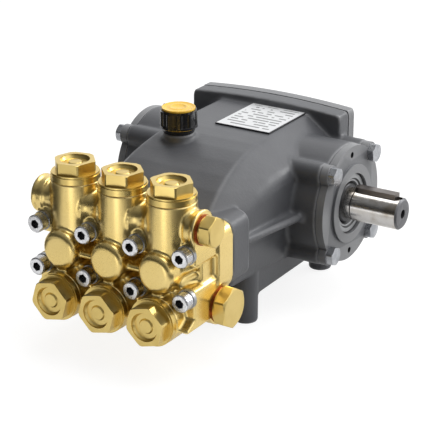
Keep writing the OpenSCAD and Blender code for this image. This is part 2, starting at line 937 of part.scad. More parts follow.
// A port plug along +X, its copper washer seated at x = 0
module port_plug(af, core_r, turn) {
    color(brass)
        rotate([0, 90, 0]) {
            translate([0, 0, copper_t - plug_stem_l])
                cylinder(r = core_r - slack, h = plug_stem_l + eps);
            translate([0, 0, copper_t])
                cylinder(r = af / 2, h = plug_rim_h + eps);
            translate([0, 0, copper_t + plug_rim_h])
                hex_prism(af, plug_hex_h, af / 2 - plug_face_inset, turn);
        }
}

// A copper washer round a port plug
module port_washer(outer_r, core_r) {
    color("#b5622e")
        rotate([0, 90, 0])
            difference() {
                cylinder(r = outer_r, h = copper_t);
                translate([0, 0, -eps])
                    cylinder(r = core_r, h = copper_t + 2 * eps);
            }
}

module at_outlet_plug() {
    translate([plug_face_x, valve_y, gallery_z])
        children();
}

module at_inlet_plug() {
    translate([plug_face_x, head_y - suction_gallery_y, suction_z])
        children();
}

module outlet_plug() { at_outlet_plug() port_plug(outlet_plug_af, outlet_core_r, 0); }
module outlet_plug_washer() { at_outlet_plug() port_washer(outlet_plug_af / 2 + 0.7, outlet_core_r); }
module inlet_plug() { at_inlet_plug() port_plug(inlet_plug_af, inlet_core_r, 0); }
module inlet_plug_washer() { at_inlet_plug() port_washer(inlet_plug_af / 2 - 0.6, inlet_core_r); }

washer_t = 3.2;
washer_r = cap_screw_head_d / 2 + 0.6;
socket_af = 6;
socket_depth = 4.5;

// One row of four socket cap screws
module cap_screw_row(z) {
    color(steel)
        for (x = screw_xs)
            translate([x, head_y - screw_seat - washer_t, z])
                rotate([90, 0, 0])
                    difference() {
                        union() {
                            cylinder(d = cap_screw_head_d, h = cap_screw_head_h - 0.8);
                            translate([0, 0, cap_screw_head_h - 0.9])
                                cylinder(r1 = cap_screw_head_d / 2, r2 = cap_screw_head_d / 2 - 0.9, h = 0.9);
                            translate([0, 0, -screw_seat - washer_t - screw_bite])
                                cylinder(r = shank_r, h = screw_seat + washer_t + screw_bite + eps);
                        }
                        translate([0, 0, cap_screw_head_h - socket_depth])
                            rotate(20)
                                cylinder(d = socket_af / cos(30), h = socket_depth + eps, $fn = 6);
                    }
}

// One row of washers under the cap screws
module washer_row(z) {
    color("#8d9094")
        for (x = screw_xs)
            difference() {
                y_rod(head_y - screw_seat - washer_t, head_y - screw_seat, washer_r, x, z);
                y_rod(head_y - screw_seat - washer_t - eps, head_y - screw_seat + eps, shank_r + 0.2, x, z);
            }
}

module head_screws_upper() { cap_screw_row(screw_rows_z[0]); }
module head_screws_lower() { cap_screw_row(screw_rows_z[1]); }
module washers_upper() { washer_row(screw_rows_z[0]); }
module washers_lower() { washer_row(screw_rows_z[1]); }

crankcase();
rear_cover();
rear_cover_bolts();
sight_glass_ring();
sight_glass();
drain_plug();
drain_plug_washer();
bearing_cover_drive();
bearing_cover_blind();
drive_cover_bolts();
blind_cover_bolts();
shaft_seal();
crankshaft();
shaft_key();
filler_neck_ring();
filler_cap();
filler_cap_disc();
rating_plate();
manifold();
discharge_cap_left();
discharge_cap_centre();
discharge_cap_right();
suction_cap_left();
suction_cap_centre();
suction_cap_right();
outlet_plug();
outlet_plug_washer();
inlet_plug();
inlet_plug_washer();
head_screws_upper();
head_screws_lower();
washers_upper();
washers_lower();
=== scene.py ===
"""Looks of a triplex plunger pump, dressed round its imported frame.

Metres, +Z up. -Y is the valve head end, +Y the rear cover, +X the drive shaft end.
"""
import math

import bpy
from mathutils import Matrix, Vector


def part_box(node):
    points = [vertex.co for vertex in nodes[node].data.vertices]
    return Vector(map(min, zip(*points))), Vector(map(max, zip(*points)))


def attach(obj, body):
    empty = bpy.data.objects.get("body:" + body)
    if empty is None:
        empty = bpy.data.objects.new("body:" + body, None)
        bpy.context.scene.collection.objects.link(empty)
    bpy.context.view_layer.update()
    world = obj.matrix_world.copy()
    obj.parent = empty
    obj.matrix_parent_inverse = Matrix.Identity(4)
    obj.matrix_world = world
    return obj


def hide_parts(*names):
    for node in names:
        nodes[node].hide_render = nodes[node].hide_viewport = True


MM = 0.001

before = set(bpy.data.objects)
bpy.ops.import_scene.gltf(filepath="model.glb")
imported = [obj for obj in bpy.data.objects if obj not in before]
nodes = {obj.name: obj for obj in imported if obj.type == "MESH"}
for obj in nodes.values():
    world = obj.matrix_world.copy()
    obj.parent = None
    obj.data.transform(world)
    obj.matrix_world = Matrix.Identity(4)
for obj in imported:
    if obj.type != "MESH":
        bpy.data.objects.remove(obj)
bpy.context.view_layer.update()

# Colours, linear
BRASS = (0.86, 0.66, 0.265)
BRASS_DEEP = (0.78, 0.58, 0.2)
BRASS_PIT_AND_SHADE = (0.5, 0.34, 0.1)
BRASS_EDGE_HIGHLIGHT = (0.97, 0.8, 0.42)
BRASS_TURNED = (0.76, 0.575, 0.205)
BRASS_DULL = (0.68, 0.5, 0.165)
PAINT_EDGE_HIGHLIGHT = (0.26, 0.262, 0.27)

# Patterns in the finishes, with the places of the painted shade rings on the seal and the shaft
SEAL_LIP_R = 16.6 * MM
SEAL_RING_SHADE_R = 18.5 * MM
SHAFT_RING_SHADE_X = 96 * MM
THREAD_PITCH = 1.6 * MM
KNURLS = 36
PLATE_BORDER = 0.7 * MM
PLATE_MARGIN_X = 4 * MM
PLATE_MARGIN_Y = 3 * MM
PLATE_ROW_PITCH = 5.2 * MM
PLATE_BAR_SHARE = 0.36

# Faces that get a second finish: painted shade in sockets, holes, the shaft's end face and under the seal's lip,
# and the threaded ports
SCREWS_IN_ROW = 4
SOCKET_SHARE = 0.62
SOCKET_INSET = 0.35 * MM
SOCKET_LIT_WALL = 0.45
JACKING_CIRCLE_R = 38 * MM
JACKING_REACH = 2.4 * MM
PORTS = ((Vector((-62.5, -145.0, 106.3)) * MM, 7.5 * MM), (Vector((-57.5, -122.5, 42.2)) * MM, 9.3 * MM))
PORT_MARGIN = 0.5 * MM
PORT_LIP = 0.4 * MM
PORT_DEPTH = 16 * MM
WALL_TILT = 0.5
END_FACE_TILT = 0.6
END_FACE_DEPTH = 1.5 * MM
TAPPED_END_R = 3.9 * MM
TAPPED_END_LIP = 0.5 * MM
TAPPED_END_DEPTH = 40 * MM
JOURNAL_R = 12.4 * MM
JOURNAL_TO_END = 20 * MM

# Shapes
MERGE_GAP = 0.002 * MM
FLAT_ANGLE = math.radians(0.5)
EDGE_ANGLE = math.radians(28)
SMOOTH_ANGLE = math.radians(32)
ROD_SHARE = 0.72
ROD_INSET = 1 * MM
DISC_STEPS = ((1.2, -0.45), (0.5, 0.0), (3.4, 0.0), (0.5, 0.35), (1.4, 0.0), (0.5, -0.35))
GASKET_R = 13.2 * MM
GASKET_DEPTH = 0.5 * MM
GASKET_RISE = 0.4 * MM

# Studio: how bright the floor and its shadow look to the camera and in metal, and the air by direction
FLOOR_LIGHT = 0.86
FLOOR_SHADOW = 0.24
METAL_LIGHT = 0.3
METAL_SHADOW = 0.65
FLAG_HEIGHT = 4 * MM
AIR_LOW = 0.06
AIR_WALL = 1.0
AIR_ABOVE = 0.25
AIR_GLOW = 0.4
AIR_COLOUR = (0.99, 0.995, 1.0, 1)
WALL_TURN = 0.45
GLOW_WAY = (0.92, 0.24, 0.3)
GLOW_FOCUS = 3.0

# Camera
CAMERA_PLACE = (0.60319, -0.99451, 0.51954)
CAMERA_AZIMUTH = 31.72
CAMERA_ELEVATION = 21.99
FOCAL_PIXELS = 1626.6
IMAGE_PIXELS = 440
SENSOR_MM = 36
CLIP_START = 0.05


# Places worked out from the frame
def middle(node):
    """The middle of a node's box."""
    low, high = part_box(node)
    return (low + high) / 2


def size(node):
    """The lengths of a node's box."""
    low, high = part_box(node)
    return high - low


def screw_row(row):
    """The first axis of a row of cap screws, their pitch and the radius of a head."""
    low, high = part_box("head_screws_" + row)
    head_r = (high.z - low.z) / 2
    pitch = (high.x - low.x - 2 * head_r) / (SCREWS_IN_ROW - 1)
    return Vector((low.x + head_r, low.y, (low.z + high.z) / 2)), pitch, head_r


SHAFT_AXIS = middle("shaft_seal")
FILLER_AXIS = middle("filler_neck_ring")


# Shader helpers
class Wire:
    """An output of a shader node. Sums and products of wires add their Math nodes."""

    def __init__(self, graph, socket):
        self.graph = graph
        self.socket = socket

    def _math(self, operation, *values):
        return self.graph.node("ShaderNodeMath", {"operation": operation}, dict(enumerate(values)))

    def __add__(self, other):
        return self._math("ADD", self, other)

    __radd__ = __add__

    def __sub__(self, other):
        return self._math("SUBTRACT", self, other)

    def __rsub__(self, other):
        return self._math("SUBTRACT", other, self)

    def __mul__(self, other):
        return self._math("MULTIPLY", self, other)

    __rmul__ = __mul__

    def __truediv__(self, other):
        return self._math("DIVIDE", self, other)

    def __gt__(self, other):
        return self._math("GREATER_THAN", self, other)

    def __lt__(self, other):
        return self._math("LESS_THAN", self, other)

    def power(self, other):
        return self._math("POWER", self, other)

    def at_least(self, other):
        return self._math("MAXIMUM", self, other)

    def at_most(self, other):
        return self._math("MINIMUM", self, other)

    def fraction(self):
        return self._math("FRACT", self)

    def size(self):
        return self._math("ABSOLUTE", self)

    def sine(self):
        return self._math("SINE", self)

    def turn_from(self, other):
        """The angle of the point whose two coordinates are other and this."""
        return self._math("ARCTAN2", self, other)


class Graph:
    """The shader nodes of a material or of the world."""

    def __init__(self, tree):
        self.tree = tree

    def feed(self, socket, value):
        """Gives a socket a wire or a plain value."""
        if isinstance(value, Wire):
            self.tree.links.new(value.socket, socket)
        else:
            socket.default_value = value

    def node(self, kind, settings=None, inputs=None, output=0):
        """Adds a node: its settings first, then the values or wires of its sockets."""
        made = self.tree.nodes.new(kind)
        for key, value in (settings or {}).items():
            setattr(made, key, value)
        for key, value in (inputs or {}).items():
            self.feed(made.inputs[key], value)
        return Wire(self, made.outputs[output])

    def step(self, value, low, high, start=0.0, end=1.0):
        """A value read off a smooth step between two bounds."""
        return self.node("ShaderNodeMapRange", {"interpolation_type": "SMOOTHSTEP"}, {
            "Value": value, "From Min": low, "From Max": high, "To Min": start, "To Max": end})


class Finish(Graph):
    """One material: its Principled shader and the patterns that feed it."""

    def __init__(self, name, metallic=0.0):
        self.material = bpy.data.materials.new(name)
        self.material.use_nodes = True
        super().__init__(self.material.node_tree)
        self.shader = self.tree.nodes["Principled BSDF"]
        self.set("Metallic", metallic)
        self.place = self.node("ShaderNodeTexCoord", output="Object")

    def set(self, socket, value):
        self.feed(self.shader.inputs[socket], value)

    def moved(self, centre=(0, 0, 0), scale=(1, 1, 1)):
        """Object coordinates measured from a centre, stretched by a scale."""
        offset = tuple(-c * s for c, s in zip(centre, scale))
        return self.node("ShaderNodeMapping", inputs={"Vector": self.place, "Location": offset, "Scale": scale})

    def noise(self, scale, detail, rough=0.5, where=None):
        return self.node("ShaderNodeTexNoise", inputs={
            "Vector": where or self.place, "Scale": scale, "Detail": detail, "Roughness": rough})

    def spots(self, scale):
        return self.node("ShaderNodeTexVoronoi", inputs={"Vector": self.place, "Scale": scale})

    def part(self, axis):
        return self.node("ShaderNodeSeparateXYZ", inputs={0: self.place}, output="XYZ".index(axis))

    def radius(self, centre, axis):
        """Distance from a line along one axis through a centre."""
        scale = tuple(0.0 if a == axis else 1.0 for a in "XYZ")
        return self.node("ShaderNodeVectorMath", {"operation": "LENGTH"},
                         {0: self.moved(centre, scale)}, output="Value")

    def turned(self, centre, axis, lines_per_metre):
        """Turning marks: uneven rings round an axis."""
        return self.node("ShaderNodeTexNoise", {"noise_dimensions": "1D"}, {
            "W": self.radius(centre, axis) * lines_per_metre, "Scale": 1.0, "Detail": 2.0})

    def blend(self, factor, first, second):
        """Colours mixed by a factor."""
        first, second = (c if isinstance(c, Wire) else (*c, 1.0) for c in (first, second))
        return self.node("ShaderNodeMix", {"data_type": "RGBA"}, {0: factor, 6: first, 7: second}, output=2)

    def edge_highlight(self, low, high):
        """How far a place stands out on a convex edge, where the colour gets a painted highlight with a little
        rubbed wear.
        """
        return self.step(self.node("ShaderNodeNewGeometry", output="Pointiness"), low, high)

    def bump(self, height, depth, under=None):
        """Relief of a given depth, laid over any relief under it."""
        inputs = {"Height": height, "Distance": depth, "Strength": 1.0}
        if under:
            inputs["Normal"] = under
        made = self.node("ShaderNodeBump", inputs=inputs)
        self.set("Normal", made)
        return made


# Finishes
def anthracite_paint(name, tone_low, tone_high, gloss, grain_depth):
    """Satin paint on a casting: fine grain, soft orange peel, slight tone changes and convex edges lightened by a
    painted highlight with a little rubbed wear.
    """
    paint = Finish(name)
    tone = paint.noise(scale=28, detail=3)
    grain = paint.noise(scale=1500, detail=2, rough=0.6)
    # Convex edges are lightened: a painted highlight, with a little rubbed wear.
    edge_light = paint.edge_highlight(0.505, 0.54) * 0.8
    skin = paint.blend(paint.step(tone, 0.3, 0.7), tone_low, tone_high)
    paint.set("Base Color", paint.blend(edge_light, skin, PAINT_EDGE_HIGHLIGHT))
    paint.set("Roughness", gloss + 0.08 * tone + 0.07 * grain)
    peel = paint.bump(paint.noise(scale=420, detail=2), depth=grain_depth * 2)
    paint.bump(grain, depth=grain_depth, under=peel)
    return paint.material


def forged_brass():
    """Satin skin of hot-pressed brass: dimpled grain, duller in the dips and brighter on convex edges, a painted
    highlight with a little rubbed wear.
    """
    brass = Finish("forged_brass_skin", metallic=1.0)
    dimples = brass.noise(scale=1500, detail=3, rough=0.6)
    cloud = brass.noise(scale=30, detail=3)
    speck = brass.spots(scale=1300)
    colour = brass.blend(brass.step(cloud, 0.3, 0.7, start=0.3), BRASS_DEEP, BRASS)
    pitted = brass.blend(brass.step(speck, 0.5, 0.9, end=0.15), colour, BRASS_PIT_AND_SHADE)
    # Convex edges are painted brighter: a painted highlight, with a little rubbed wear.
    brass.set("Base Color", brass.blend(brass.edge_highlight(0.51, 0.56) * 0.8, pitted, BRASS_EDGE_HIGHLIGHT))
    brass.set("Roughness", 0.23 + 0.05 * cloud + 0.05 * dimples)
    wave = brass.bump(brass.noise(scale=260, detail=2), depth=0.01 * MM)
    brass.bump(dimples, depth=0.018 * MM, under=wave)
    return brass.material


def tapped_brass():
    """The threaded walls of the open ports: thread crests along the port's axis."""
    brass = Finish("tapped_brass", metallic=1.0)
    crest = ((brass.part("X") / THREAD_PITCH).fraction() - 0.5).size() * 2
    mottle = brass.noise(scale=300, detail=3)
    # The roots between the thread crests are painted darker: painted shade in the grooves of the thread.
    brass.set("Base Color", brass.blend(crest, BRASS_PIT_AND_SHADE, BRASS_DEEP))
    brass.set("Roughness", 0.28 + 0.14 * mottle)
    brass.bump(crest, depth=0.4 * MM)
    return brass.material


def turned_brass(node, axis):
    """Machined brass with turning marks round the piece's own axis."""
    brass = Finish(node + "_brass", metallic=1.0)
    marks = brass.turned(middle(node), axis, lines_per_metre=4200)
    smudge = brass.noise(scale=60, detail=3)
    grain = brass.noise(scale=1600, detail=2)
    brass.set("Base Color", brass.blend(brass.step(smudge, 0.3, 0.75), BRASS_TURNED, BRASS_DULL))
    brass.set("Roughness", 0.22 + 0.05 * smudge + 0.06 * marks + 0.05 * grain)
    brass.bump(grain, depth=0.02 * MM, under=brass.bump(marks, depth=0.01 * MM))
    return brass.material


def copper():
    metal = Finish("copper_washer_metal", metallic=1.0)
    stain = metal.noise(scale=260, detail=3)
    metal.set("Base Color", metal.blend(metal.step(stain, 0.35, 0.65), (0.42, 0.105, 0.04), (0.22, 0.05, 0.022)))
    metal.set("Roughness", 0.28 + 0.2 * stain)
    metal.bump(stain, depth=0.04 * MM)
    return metal.material


def zinc():
    """Bright zinc plating with a fine crystal grain."""
    plating = Finish("zinc_plating", metallic=1.0)
    flakes = plating.spots(scale=700)
    haze = plating.noise(scale=140, detail=3)
    plating.set("Base Color", plating.blend(plating.step(haze, 0.35, 0.7), (0.46, 0.47, 0.49), (0.32, 0.33, 0.35)))
    plating.set("Roughness", 0.2 + 0.12 * haze + 0.06 * flakes)
    plating.bump(flakes, depth=0.03 * MM)
    return plating.material


def screw_steel(row):
    """Bright steel, knurled round the sides of the heads."""
    steel = Finish("cap_screw_steel_" + row, metallic=1.0)
    first, pitch, head_r = screw_row(row)
    across = (((steel.part("X") - first.x) / pitch + 0.5).fraction() - 0.5) * pitch
    above = steel.part("Z") - first.z
    away = (across * across + above * above).power(0.5)
    side = steel.step(away, head_r - 0.5 * MM, head_r - 0.3 * MM)
    knurl = (above.turn_from(across) * KNURLS).sine()
    scuff = steel.noise(scale=500, detail=3)
    face = steel.blend(steel.step(scuff, 0.35, 0.7), (0.86, 0.86, 0.87), (0.68, 0.68, 0.7))
    steel.set("Base Color", steel.blend(side * (0.4 + 0.14 * knurl), face, (0.16, 0.16, 0.17)))
    steel.set("Roughness", 0.2 + 0.16 * scuff)
    steel.bump(side * knurl, depth=0.03 * MM)
    return steel.material


def painted_hollow_shade():
    """Painted shade in sockets, jacking holes and the shaft's tapped end, and under the seal's lip: near-black
    steel standing in for the shade in these hollows.
    """
    black = Finish("hollow_shade_steel", metallic=0.6)
    mottle = black.noise(scale=700, detail=3)
    black.set("Base Color", black.blend(mottle, (0.02, 0.02, 0.022), (0.07, 0.07, 0.073)))
    black.set("Roughness", 0.3 + 0.2 * mottle)
    black.bump(mottle, depth=0.02 * MM)
    return black.material


def washer_steel():
    steel = Finish("dark_washer_steel", metallic=1.0)
    scuff = steel.noise(scale=420, detail=3)
    steel.set("Base Color", steel.blend(scuff, (0.25, 0.26, 0.27), (0.5, 0.51, 0.53)))
    steel.set("Roughness", 0.28 + 0.2 * scuff)
    steel.bump(scuff, depth=0.03 * MM)
    return steel.material


def ground_steel():
    """Ground shaft: fine rings round the shaft, a thin oil stain, and near the seal a shallow bumped groove painted
    dark as the shade of the shaft's step.
    """
    steel = Finish("ground_shaft_steel", metallic=1.0)
    rings = steel.noise(scale=60, detail=2, where=steel.moved(scale=(90, 0.5, 0.5)))
    stain = steel.noise(scale=70, detail=3)
    # A dark ring near the seal: painted shade of the shaft's step, over a shallow bumped groove.
    ring_shade = 1 - steel.step((steel.part("X") - SHAFT_RING_SHADE_X).size(), 0.3 * MM, 0.6 * MM)
    ground = steel.blend(steel.step(stain, 0.35, 0.7), (0.56, 0.545, 0.53), (0.36, 0.32, 0.27))
    steel.set("Base Color", steel.blend(ring_shade, ground, (0.035, 0.032, 0.03)))
    steel.set("Roughness", 0.1 + 0.1 * rings + 0.08 * stain + 0.2 * ring_shade)
    steel.bump(rings - 2 * ring_shade, depth=0.02 * MM)
    return steel.material


def shaded_end_steel():
    """The faced end of the shaft: grey darkened as painted shade, with rings round its centre."""
    steel = Finish("shaded_shaft_end", metallic=0.8)
    rings = steel.turned(SHAFT_AXIS, "X", lines_per_metre=2600)
    steel.set("Base Color", steel.blend(rings, (0.12, 0.12, 0.125), (0.2, 0.2, 0.21)))
    steel.set("Roughness", 0.38 + 0.14 * rings)
    steel.bump(rings, depth=0.03 * MM)
    return steel.material


def key_steel():
    """Brownish bright steel, drawn along the key."""
    steel = Finish("key_steel", metallic=1.0)
    drawn = steel.noise(scale=40, detail=3, where=steel.moved(scale=(1.5, 60, 60)))
    steel.set("Base Color", steel.blend(drawn, (0.1, 0.085, 0.075), (0.26, 0.235, 0.22)))
    steel.set("Roughness", 0.25 + 0.2 * drawn)
    steel.bump(drawn, depth=0.03 * MM)
    return steel.material


def seal_finish():
    """Rubber lip inside a pressed metal case, told apart by the distance from the shaft, with painted shade as two
    dark rings: at the case's inner step and at its outer edge against the bore.
    """
    seal = Finish("shaft_seal_case")
    away = seal.radius(SHAFT_AXIS, "X")
    rim = size("shaft_seal").y / 2
    case = seal.step(away, SEAL_LIP_R, SEAL_LIP_R + 0.3 * MM)
    # Two dark rings of painted shade: at the case's inner step and at its outer edge against the bore.
    ring_shade = 1 - seal.step((away - SEAL_RING_SHADE_R).size(), 0.4 * MM, 0.7 * MM)
    gap_shade = seal.step(away, rim - 1.1 * MM, rim - 0.8 * MM)
    bare = case * (1 - ring_shade.at_least(gap_shade))
    marks = seal.turned(SHAFT_AXIS, "X", lines_per_metre=3000)
    seal.set("Base Color", seal.blend(bare, (0.012, 0.012, 0.013), (0.36, 0.365, 0.37)))
    seal.set("Metallic", bare)
    seal.set("Roughness", 0.48 - 0.06 * case + 0.12 * marks)
    seal.bump(marks, depth=0.03 * MM)
    return seal.material


def black_plastic():
    plastic = Finish("black_moulded_plastic")
    flow = plastic.noise(scale=120, detail=3)
    plastic.set("Base Color", plastic.blend(flow, (0.010, 0.010, 0.011), (0.018, 0.018, 0.019)))
    plastic.set("Roughness", 0.1 + 0.08 * flow)
    plastic.set("IOR", 1.5)
    plastic.bump(plastic.noise(scale=700, detail=2), depth=0.02 * MM)
    return plastic.material


def yellow_plastic():
    plastic = Finish("yellow_cap_plastic")
    flow = plastic.noise(scale=160, detail=3)
    plastic.set("Base Color", plastic.blend(flow, (0.93, 0.52, 0.03), (0.97, 0.63, 0.08)))
    plastic.set("Roughness", 0.18 + 0.16 * flow)
    plastic.bump(plastic.noise(scale=600, detail=2), depth=0.04 * MM)
    return plastic.material


def plate_print():
    """Silver rating plate: a dark border and rows of plain broken bars, with no lettering."""
    plate = Finish("printed_aluminium_plate", metallic=0.15)
    across, along = plate.part("X"), plate.part("Y")
    heart, reach = middle("rating_plate"), size("rating_plate") / 2
    off_edge_x = reach.x - (across - heart.x).size()
    off_edge_y = reach.y - (along - heart.y).size()
    border = 1 - (off_edge_x > PLATE_BORDER) * (off_edge_y > PLATE_BORDER)
    field = (off_edge_x > PLATE_MARGIN_X) * (off_edge_y > PLATE_MARGIN_Y)
    count = (along - (heart.y - reach.y)) / PLATE_ROW_PITCH
    row = count - count.fraction()
    place = plate.node("ShaderNodeCombineXYZ", inputs={0: across * 150, 1: row * 7.3})
    words = plate.node("ShaderNodeTexNoise", {"noise_dimensions": "2D"}, {
        "Vector": place, "Scale": 1.0, "Detail": 1.0})
    bars = (count.fraction() < PLATE_BAR_SHARE) * (words > 0.43) * field
    brushed = plate.noise(scale=60, detail=3, where=plate.moved(scale=(4, 90, 90)))
    ink = border + (1 - border) * bars * 0.8
    silver = plate.blend(brushed, (0.7, 0.71, 0.72), (0.8, 0.805, 0.81))
    plate.set("Base Color", plate.blend(ink, silver, (0.03, 0.03, 0.034)))
    plate.set("Roughness", 0.24 + 0.12 * brushed)
    plate.bump(brushed, depth=0.01 * MM)
    return plate.material


def sight_glass_finish():
    """Glass with oil behind its lower half."""
    glass = Finish("oil_sight_glass")
    surface = middle("sight_glass").z
    level = glass.step(glass.part("Z"), surface - 0.4 * MM, surface + 0.4 * MM)
    ripple = glass.noise(scale=90, detail=2)
    glass.set("Base Color", glass.blend(level, (0.33, 0.17, 0.035), (0.6, 0.55, 0.42)))
    glass.set("Roughness", 0.05 + 0.05 * ripple)
    glass.bump(ripple, depth=0.05 * MM)
    return glass.material


def floor_paper():
    """Pale paper: white to the eye and in metal with the shadow kept, and little light thrown back."""
    paper = Finish("studio_paper")
    grain = paper.noise(scale=30, detail=3)
    paper.set("Base Color", paper.blend(grain, (0.19, 0.19, 0.19), (0.21, 0.21, 0.21)))
    paper.set("Roughness", 0.9)
    paper.set("Specular IOR Level", 0.1)
    to_eye, to_metal, to_glass = (paper.node("ShaderNodeLightPath", output=name)
                                  for name in ("Is Camera Ray", "Is Glossy Ray", "Is Transmission Ray"))
    seen = (to_eye + to_metal + to_glass).at_most(1.0)
    light = METAL_LIGHT + (FLOOR_LIGHT - METAL_LIGHT) * to_eye
    white = paper.node("ShaderNodeEmission", inputs={"Strength": light})
    depth = paper.blend(to_eye, (METAL_SHADOW,) * 3, (FLOOR_SHADOW,) * 3)
    shaded = paper.node("ShaderNodeBsdfDiffuse", inputs={"Color": depth})
    pale = paper.node("ShaderNodeAddShader", inputs={0: white, 1: shaded})
    plain = Wire(paper, paper.shader.outputs[0])
    top = paper.node("ShaderNodeMixShader", inputs={0: seen, 1: plain, 2: pale})
    paper.feed(paper.tree.nodes["Material Output"].inputs["Surface"], top)
    return paper.material


def flag_cloth():
    cloth = Finish("black_flag_cloth")
    weave = cloth.noise(scale=60, detail=2)
    cloth.set("Base Color", cloth.blend(weave, (0.018, 0.018, 0.018), (0.024, 0.023, 0.022)))
    cloth.set("Roughness", 0.9)
    return cloth.material


# Modelling helpers
def take_up(piece):
    """Makes a piece the only selected and the active object."""
    if bpy.context.object and bpy.context.object.mode != "OBJECT":
        bpy.ops.object.mode_set(mode="OBJECT")
    bpy.ops.object.select_all(action="DESELECT")
    piece.select_set(True)
    bpy.context.view_layer.objects.active = piece


def edit_all(piece):
    """Opens a piece in edit mode with its whole mesh selected."""
    take_up(piece)
    bpy.ops.object.mode_set(mode="EDIT")
    bpy.ops.mesh.select_all(action="SELECT")


def shape_with(piece, kind, **settings):
    """Adds one modifier and applies it."""
    take_up(piece)
    step = piece.modifiers.new(kind.lower(), kind)
    for key, value in settings.items():
        setattr(step, key, value)
    bpy.ops.object.modifier_apply(modifier=step.name)


def copy_of(node, name):
    """A merged copy of a node's mesh, ready to be worked on."""
    piece = bpy.data.objects.new(name, nodes[node].data.copy())
    bpy.context.scene.collection.objects.link(piece)
    take_up(piece)
    bpy.ops.mesh.customdata_custom_splitnormals_clear()
    edit_all(piece)
    bpy.ops.mesh.remove_doubles(threshold=MERGE_GAP)
    bpy.ops.object.mode_set(mode="OBJECT")
    return piece


def pick_faces(piece, wanted):
    """Selects the faces whose middle and normal answer a test, ready for edit mode."""
    take_up(piece)
    bpy.ops.object.mode_set(mode="EDIT")
    bpy.ops.mesh.select_mode(type="FACE")
    bpy.ops.mesh.select_all(action="DESELECT")
    bpy.ops.object.mode_set(mode="OBJECT")
    for face in piece.data.polygons:
        face.select = wanted(face.center, face.normal)
    bpy.ops.object.mode_set(mode="EDIT")


def second_finish(piece, material, wanted):
    """Gives the faces that answer a test a finish of their own."""
    piece.data.materials.append(material)
    pick_faces(piece, wanted)
    piece.active_material_index = len(piece.data.materials) - 1
    bpy.ops.object.material_slot_assign()
    bpy.ops.object.mode_set(mode="OBJECT")


def finish_piece(piece, material, node, body="pump"):
    """Gives a piece its material and its body, and hides the node that it stands for."""
    piece.data.materials.clear()
    piece.data.materials.append(material)
    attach(piece, body)
    if node:
        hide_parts(node)
    return piece


def screw_fillings():
    """Rods that fill the valve head's screw holes, where the screws hide them and the walls are thin."""
    rods = []
    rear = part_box("manifold")[1].y - ROD_INSET
    for row in ("upper", "lower"):
        first, pitch, head_r = screw_row(row)
        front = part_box("washers_" + row)[1].y + ROD_INSET
        for i in range(SCREWS_IN_ROW):
            bpy.ops.object.select_all(action="DESELECT")
            bpy.ops.mesh.primitive_cylinder_add(
                vertices=32, radius=ROD_SHARE * head_r, depth=rear - front,
                location=(first.x + i * pitch, (rear + front) / 2, first.z), rotation=(math.pi / 2, 0, 0))
            bpy.ops.object.transform_apply(location=True, rotation=True, scale=True)
            rods.append(bpy.context.object)
    return rods


def casting(node, material, voxel, hollow_r, edge_r, keep, fillings=()):
    """A node's shape with the fillets of a casting: hollows filled and edges worn to a radius."""
    piece = copy_of(node, node + "_casting")
    for rod in fillings:
        rod.select_set(True)
    if fillings:
        bpy.ops.object.join()
    voxel_step = {"mode": "VOXEL", "voxel_size": voxel}
    shape_with(piece, "REMESH", **voxel_step)
    for offset in (hollow_r, -hollow_r - edge_r, edge_r):
        shape_with(piece, "DISPLACE", strength=offset, mid_level=0.0)
        shape_with(piece, "REMESH", **voxel_step)
    shape_with(piece, "SMOOTH", factor=0.5, iterations=3)
    shape_with(piece, "DECIMATE", ratio=keep)
    low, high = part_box(node)
    for vertex in piece.data.vertices:
        vertex.co = Vector(min(max(value, least), most) for value, least, most in zip(vertex.co, low, high))
    bpy.ops.object.shade_smooth()
    return finish_piece(piece, material, node)


def machined(node, material, edge, body="pump", flats=True):
    """A node's shape with its sharp edges broken by a small chamfer, and its flats kept flat."""
    piece = copy_of(node, node + "_machined")
    edit_all(piece)
    bpy.ops.mesh.dissolve_limited(angle_limit=FLAT_ANGLE)
    shape_with(piece, "BEVEL", width=edge, segments=2, limit_method="ANGLE", angle_limit=EDGE_ANGLE,
               use_clamp_overlap=True, miter_outer="MITER_ARC")
    bpy.ops.object.shade_smooth_by_angle(angle=SMOOTH_ANGLE)
    if flats:
        shape_with(piece, "WEIGHTED_NORMAL", weight=100, keep_sharp=True)
    return finish_piece(piece, material, node, body)


# Pieces
def castings():
    paint = anthracite_paint("anthracite_cast_paint", (0.092, 0.094, 0.102), (0.11, 0.113, 0.121),
                             gloss=0.34, grain_depth=0.05 * MM)
    # The covers get a lighter copy of the case paint: painted light on their faces; it is also glossier.
    smooth = anthracite_paint("anthracite_cover_paint_lit", (0.15, 0.153, 0.162), (0.168, 0.171, 0.181),
                              gloss=0.26, grain_depth=0.03 * MM)
    casting("crankcase", paint, voxel=0.8 * MM, hollow_r=1.3 * MM, edge_r=0.5 * MM, keep=0.4)
    machined("rear_cover", paint, edge=0.5 * MM)

    def in_jacking_hole(place, normal):
        off_circle = abs(place.z - SHAFT_AXIS.z) - JACKING_CIRCLE_R
        return abs(normal.x) < WALL_TILT and math.hypot(place.y - SHAFT_AXIS.y, off_circle) < JACKING_REACH

    for side in ("drive", "blind"):
        cover = machined("bearing_cover_" + side, smooth, edge=0.45 * MM)
        # The jacking holes get painted shade.
        second_finish(cover, painted_hollow_shade(), in_jacking_hole)
    manifold = casting("manifold", forged_brass(), voxel=0.5 * MM, hollow_r=1.4 * MM,
                       edge_r=0.3 * MM, keep=0.24, fillings=screw_fillings())

    def in_port(place, normal):
        return abs(normal.x) < WALL_TILT and any(
            math.hypot(place.y - mouth.y, place.z - mouth.z) < radius + PORT_MARGIN
            and PORT_LIP < place.x - mouth.x < PORT_DEPTH for mouth, radius in PORTS)

    second_finish(manifold, tapped_brass(), in_port)


